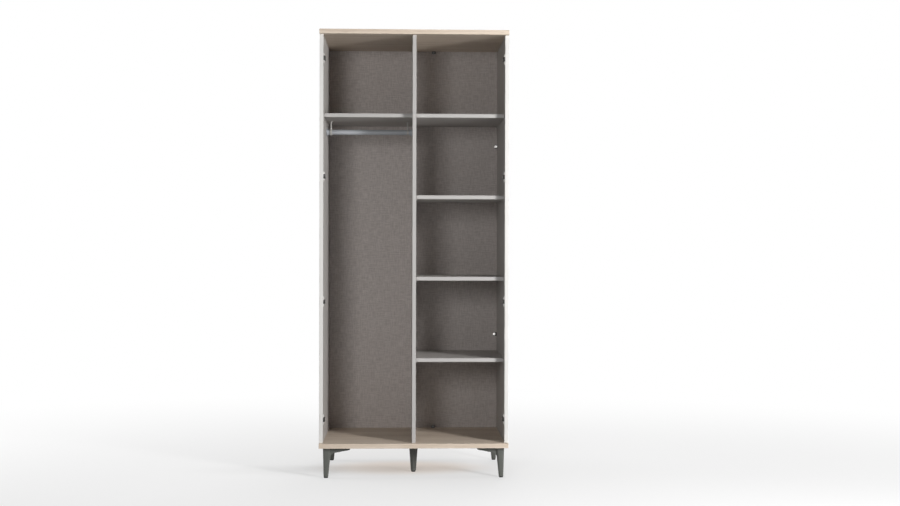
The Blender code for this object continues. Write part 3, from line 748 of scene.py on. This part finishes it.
def makeHangers(shape):
    railLow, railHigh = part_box("clothes_rail")
    bore = (railHigh.z - railLow.z) / 2 + shape["clearance"]
    ring = bore + shape["wall"]
    for side in ("left", "right"):
        node = f"{side}_rail_hanger"
        low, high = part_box(node)
        middle = Vector(((low.x + high.x) / 2, (low.y + high.y) / 2, low.z + ring))
        top = high.z - middle.z
        band = ringOf(ring, bore, shape["width"] / 2, shape["ringSteps"])
        soften(band, shape["rim"], segments=3, sharperThan=60)
        moved(band, aimed(axisX))
        whole = baked(band, [("UNION", hangerStem(top, ring, bore, shape))])
        moved(whole, Matrix.Translation(middle))
        finished(f"{side}RailHanger", whole, satinHanger, stands=[node])
        seat = middle + axisZ * (top - shape["flangeThickness"])
        spots = [seat + axisY * shape["screwOut"] * way for way in (-1, 1)]
        screws = [screwAt(spot, -axisZ, shape["screwSize"]) for spot in spots]
        finished(f"{side}RailHangerScrews", together(screws), nickel)


makeRail(railShape)
makeSockets(socketShape)
makeHangers(hangerShape)
print("clothes rail, cups and hangers made")


# Hinge plates: a winged plate with a raised bridge, a slot along it and a cam screw
plateShape = {"perSide": 4,
              "wingWidth": 0.015, "wingThickness": 0.0025, "wingCorner": 0.005, "wingRim": 0.001,
              "bridgeWidth": 0.020, "noseLength": 0.008, "noseHeight": 0.0045, "rim": 0.0008,
              "slotLength": 0.011, "slotWidth": 0.0042, "slotDepth": 0.003, "slotMiddle": 0.0165,
              "slotRound": 0.48,  # of its width
              "camPlace": 0.0295, "camRadius": 0.0046, "camSunk": 0.0006,
              "screwSpacing": 0.032, "screwSize": 1.2}


def plateWing(length, span, shape):
    middle = length / 2
    half = shape["wingWidth"] / 2
    wing = block((middle - half, -span / 2, 0), (middle + half, span / 2, shape["wingThickness"]))
    roundUprights(wing, shape["wingCorner"], segments=8)
    return soften(wing, shape["wingRim"], segments=3, sharperThan=60)


def plateBridge(length, height, shape):
    half = shape["bridgeWidth"] / 2
    bridge = block((0, -half, 0), (length, half, height))
    slope = Vector((shape["noseHeight"] - height, 0, shape["noseLength"]))
    chop(bridge, (0, 0, shape["noseHeight"]), slope)
    soften(bridge, shape["rim"], segments=3, sharperThan=20)
    long = shape["slotLength"] / 2
    wide = shape["slotWidth"] / 2
    middle = shape["slotMiddle"]
    slot = block((middle - long, -wide, height - shape["slotDepth"]), (middle + long, wide, height * 2))
    roundUprights(slot, shape["slotWidth"] * shape["slotRound"], segments=6)
    return baked(bridge, [("DIFFERENCE", slot)])


def makePlates(shape):
    camSize = shape["camRadius"] / screwLook["headRadius"]
    for side, out in (("left", axisX), ("right", -axisX)):
        screws = []
        for number in range(1, shape["perSide"] + 1):
            node = f"{side}_hinge_plate_{number}"
            low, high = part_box(node)
            height = high.x - low.x
            length = high.y - low.y
            seat = Vector((low.x if side == "left" else high.x, low.y, (low.z + high.z) / 2))
            stand = framed(axisY, out, seat)
            wing = moved(plateWing(length, high.z - low.z, shape), stand)
            finished(f"{side}HingeWing{number}", wing, brightZinc, stands=[node])
            # the bridge's dark steel is partly painted shade: it darkens the bridge's front, where shade and
            # dark reflection fall
            bridge = moved(plateBridge(length, height, shape), stand)
            finished(f"{side}HingeBridge{number}", bridge, darkSteel, stands=[node])
            camSeat = Matrix.Translation((shape["camPlace"], 0, height - shape["camSunk"]))
            screws.append(moved(screwAt((0, 0, 0), axisZ, camSize), stand @ camSeat))
            for way in (-1, 1):
                spot = stand @ Vector((length / 2, way * shape["screwSpacing"] / 2, shape["wingThickness"]))
                screws.append(screwAt(spot, out, shape["screwSize"]))
        finished(f"{side}HingePlateScrews", together(screws), brightZinc)


makePlates(plateShape)
print("hinge plates made")


# Shelf pins with chamfered ends
pinShape = {"chamfer": 0.0005, "steps": 32}


def makePins(shape):
    nose = shape["chamfer"]
    for node in sorted(name for name in cadNodes if "_pin_" in name):
        low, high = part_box(node)
        radius = (high.z - low.z) / 2
        half = (high.x - low.x) / 2
        pin = spun([(0, half), (radius - nose, half), (radius, half - nose), (radius, nose - half),
                    (radius - nose, -half), (0, -half)], shape["steps"])
        moved(pin, aimed(axisX, (low + high) / 2))
        finished(camelName(node), pin, nickel, stands=[node])


makePins(pinShape)
print("shelf pins made")


# Back fasteners: a moulded wedge in the corner, with a boss that carries a cam screw facing the front
wedgeShape = {"lip": 0.004, "rim": 0.0009, "bossRadius": 0.0074, "bossRim": 0.0008, "bossSteps": 40,
              "camSunk": 0.0004, "camLean": (1.0, 0.07, 0.19)}
camLook = {"headRadius": 0.0068, "headHeight": 0.0022, "flat": 0.84, "sunk": 0.0006, "crossLength": 0.0066,
           "crossWidth": 0.0013, "crossDepth": 0.001}
wedges = {  # boss: away from the board, and up from the back panel
    # the top and bottom cams get dark steel as painted shade, for the dark corners they sit in; the same cam
    # is bright zinc on the sides
    "top": {"out": -axisZ, "boss": (0.0062, 0.012), "cam": darkSteel},
    "bottom": {"out": axisZ, "boss": (0.0062, 0.012), "cam": darkSteel},
    "upper": {"out": -axisX, "boss": (0.0062, 0.012), "cam": brightZinc},
    "lower": {"out": -axisX, "boss": (0.0135, 0.007), "cam": brightZinc},
}


def wedgeBody(size, long, away, rise, shape):
    slope = Vector((1, 0, 1))
    wedge = chop(block((0, -long / 2, 0), (size, long / 2, size)), (size, 0, shape["lip"]), slope)
    soften(wedge, shape["rim"], segments=3, sharperThan=20)
    radius = shape["bossRadius"]
    rim = shape["bossRim"]
    boss = spun([(0, rise), (radius - rim, rise), (radius, rise - rim), (radius, 0), (0, 0)],
                shape["bossSteps"])
    moved(boss, aimed(axisX, (0, 0, away)))
    return baked(wedge, [("UNION", boss)])


def makeWedges(shape):
    camScrew = makeScrew(camLook)
    for name, wedge in wedges.items():
        node = f"{name}_back_fastener"
        low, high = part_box(node)
        size = high.y - low.y
        seat = (low + high) / 2 - wedge["out"] * size / 2
        seat.y = high.y
        stand = framed(-axisY, wedge["out"], seat)
        away, rise = wedge["boss"]
        whole = moved(wedgeBody(size, max(high - low), away, rise, shape), stand)
        finished(f"{name}BackWedge", whole, greyPlastic, stands=[node])
        cam = screwAt((rise - shape["camSunk"], 0, away), shape["camLean"], screw=camScrew)
        finished(f"{name}BackWedgeCam", moved(cam, stand), wedge["cam"])


makeWedges(wedgeShape)
print("back fasteners made")


# Cast legs: a post that spreads towards its top, two arms filleted into it, and screws up into the panel
legShape = {"topSize": 0.0395, "footSize": 0.022, "flare": 0.0038, "corner": 0.013, "armWidth": 0.018,
            "armTip": 0.011, "armRoot": 0.0285, "tipRadius": 0.008, "fillet": 0.024,
            "gusset": 1.5,  # fillets below the root
            "overTop": 0.006, "voxel": 0.001, "smoothing": 3, "bore": 0.0043, "boreDepth": 0.026,
            "screwPlaces": (0.061, 0.1), "screwSize": 1.1}
legTurns = {"front_left": 0, "front_right": 90, "rear_right": 180, "rear_left": 270, "centre": 45}
acrossDiagonal = Matrix(((0, 1, 0, 0), (1, 0, 0, 0), (0, 0, 1, 0), (0, 0, 0, 1)))  # swaps X and Y


def legPost(bottom, top, shape):
    # a rounded block whose foot is drawn in towards the glide; it stands above the top to be cut there
    rise = (top + shape["overTop"] - bottom) / (top - bottom)
    size = shape["footSize"] + (shape["topSize"] - shape["footSize"]) * rise
    outer = -shape["footSize"] / 2 - shape["flare"] * rise
    post = block((outer, outer, bottom), (outer + size, outer + size, top + shape["overTop"]))
    roundUprights(post, shape["corner"], segments=8)
    foot = [vert for vert in post.verts if vert.co.z < (bottom + top) / 2]
    draw = shape["footSize"] / size
    still = (-shape["footSize"] / 2 - draw * outer) / (1.0 - draw)
    bmesh.ops.scale(post, verts=foot, vec=(draw, draw, 1), space=Matrix.Translation((-still, -still, 0)))
    return post


def postFace(level, bottom, top, shape):
    # how far the post's inner face is from the glide's axis
    share = (level - bottom) / (top - bottom)
    return shape["footSize"] / 2 + share * (shape["topSize"] - shape["flare"] - shape["footSize"])


def armMiddle(shape):
    # how far an arm's middle plane is from the glide's axis
    return shape["topSize"] / 2 - shape["footSize"] / 2 - shape["flare"]


def rounded(bm, corner, before, after, radius):
    turn = (corner.co - before).angle(after - corner.co)
    bmesh.ops.bevel(bm, geom=[corner], offset=radius * math.tan(turn / 2), segments=12, profile=0.5,
                    affect="VERTICES", material=-1)


def legArm(tip, root, bottom, top, shape):
    # outline of an arm from its side, rounded at the tip and where it meets the post, then given its width
    level = top - shape["armRoot"] - shape["gusset"] * shape["fillet"]
    gusset = Vector((postFace(level, bottom, top, shape), 0.0, level))
    above = top + shape["overTop"]
    end = Vector((tip.x, 0.0, above))
    outline = ((0.0, 0.0, above), end, tip, root, gusset, (0.0, 0.0, gusset.z))
    arm = bmesh.new()
    corners = [arm.verts.new(point) for point in outline]
    arm.faces.new(corners)
    rounded(arm, corners[2], end, root, shape["tipRadius"])
    rounded(arm, corners[3], tip, gusset, shape["fillet"])
    bmesh.ops.translate(arm, verts=arm.verts, vec=(0, armMiddle(shape) - shape["armWidth"] / 2, 0))
    wide = bmesh.ops.extrude_face_region(arm, geom=arm.faces)["geom"]
    far = [part for part in wide if isinstance(part, bmesh.types.BMVert)]
    bmesh.ops.translate(arm, verts=far, vec=(0, shape["armWidth"], 0))
    bmesh.ops.recalc_face_normals(arm, faces=arm.faces)
    return arm


def legBody(tip, root, bottom, top, shape):
    armX = legArm(tip, root, bottom, top, shape)
    armY = moved(legArm(tip, root, bottom, top, shape), acrossDiagonal)
    bmesh.ops.reverse_faces(armY, faces=armY.faces)
    leg = baked(legPost(bottom, top, shape), [("UNION", armX), ("UNION", armY)], shape["voxel"])
    for _ in range(shape["smoothing"]):
        bmesh.ops.smooth_vert(leg, verts=leg.verts, factor=0.5, use_axis_x=True, use_axis_y=True,
                              use_axis_z=True)
    chop(leg, (0, 0, top), axisZ)
    bore = bmesh.new()
    bmesh.ops.create_cone(bore, cap_ends=True, segments=32, radius1=shape["bore"], radius2=shape["bore"],
                          depth=shape["boreDepth"] * 2, matrix=Matrix.Translation((0, 0, bottom)))
    return meshOf(baked(leg, [("DIFFERENCE", bore)]), "castLeg")


def legScrews(tip, root, shape):
    # two to each arm, square to the arm's sloping underside
    slope = tip - root
    down = Vector((slope.z, 0, -slope.x))
    screws = []
    for reach in shape["screwPlaces"]:
        spot = root + slope * (reach - root.x) / slope.x
        spot.y = armMiddle(shape)
        screw = screwAt(spot, down, shape["screwSize"])
        other = moved(screw.copy(), acrossDiagonal)
        bmesh.ops.reverse_faces(other, faces=other.faces)
        screws += [screw, other]
    return meshOf(together(screws), "legScrews")


def makeLegs(shape):
    low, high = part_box("front_left_leg")
    tipReach = -shape["footSize"] / 2 - shape["flare"] + high.x - low.x
    tip = Vector((tipReach, 0.0, high.z - shape["armTip"]))
    rootLevel = high.z - shape["armRoot"]
    root = Vector((postFace(rootLevel, low.z, high.z, shape), 0.0, rootLevel))
    body = legBody(tip, root, low.z, high.z, shape)
    screws = legScrews(tip, root, shape)
    for name, degrees in legTurns.items():
        glideLow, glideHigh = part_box(f"{name}_glide")
        foot = (glideLow + glideHigh) / 2
        foot.z = 0
        stand = Matrix.Translation(foot) @ Matrix.Rotation(math.radians(degrees), 4, "Z")
        node = f"{name}_leg"
        finished(camelName(node), moved(copyOf(body), stand), castPaint, stands=[node], crease=60)
        finished(camelName(node) + "Screws", moved(copyOf(screws), stand), nickel)


makeLegs(legShape)
print("cast legs made")


# Levelling glides: a black foot on a threaded stem
glideShape = {"footTop": 0.005, "pad": 0.0016, "groove": 0.0004, "rim": 0.0007, "stem": 0.004,
              "threadDepth": 0.0004, "pitch": 0.00125, "steps": 40}


def glideProfile(radius, top, shape):
    crest = shape["stem"]
    valley = crest - shape["threadDepth"]
    pitch = shape["pitch"]
    footTop = shape["footTop"]
    rim = shape["rim"]
    pad = shape["pad"]
    groove = shape["groove"]
    profile = [(0, top)]
    for turn in range(int((top - footTop) / pitch)):
        level = top - turn * pitch
        profile += [(valley, level), (crest, level - pitch / 2)]
    profile += [(valley, footTop), (radius - rim, footTop), (radius, footTop - rim), (radius, pad + groove),
                (radius - groove, pad + groove), (radius - groove, pad), (radius, pad), (radius, rim),
                (radius - rim, 0), (0, 0)]
    return profile


def makeGlides(shape):
    for name in legTurns:
        node = f"{name}_glide"
        low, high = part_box(node)
        glide = spun(glideProfile((high.x - low.x) / 2, high.z, shape), shape["steps"])
        middle = (low + high) / 2
        moved(glide, Matrix.Translation((middle.x, middle.y, 0)))
        finished(camelName(node), glide, blackPlastic, body=node, stands=[node])


makeGlides(glideShape)
print("glides made")
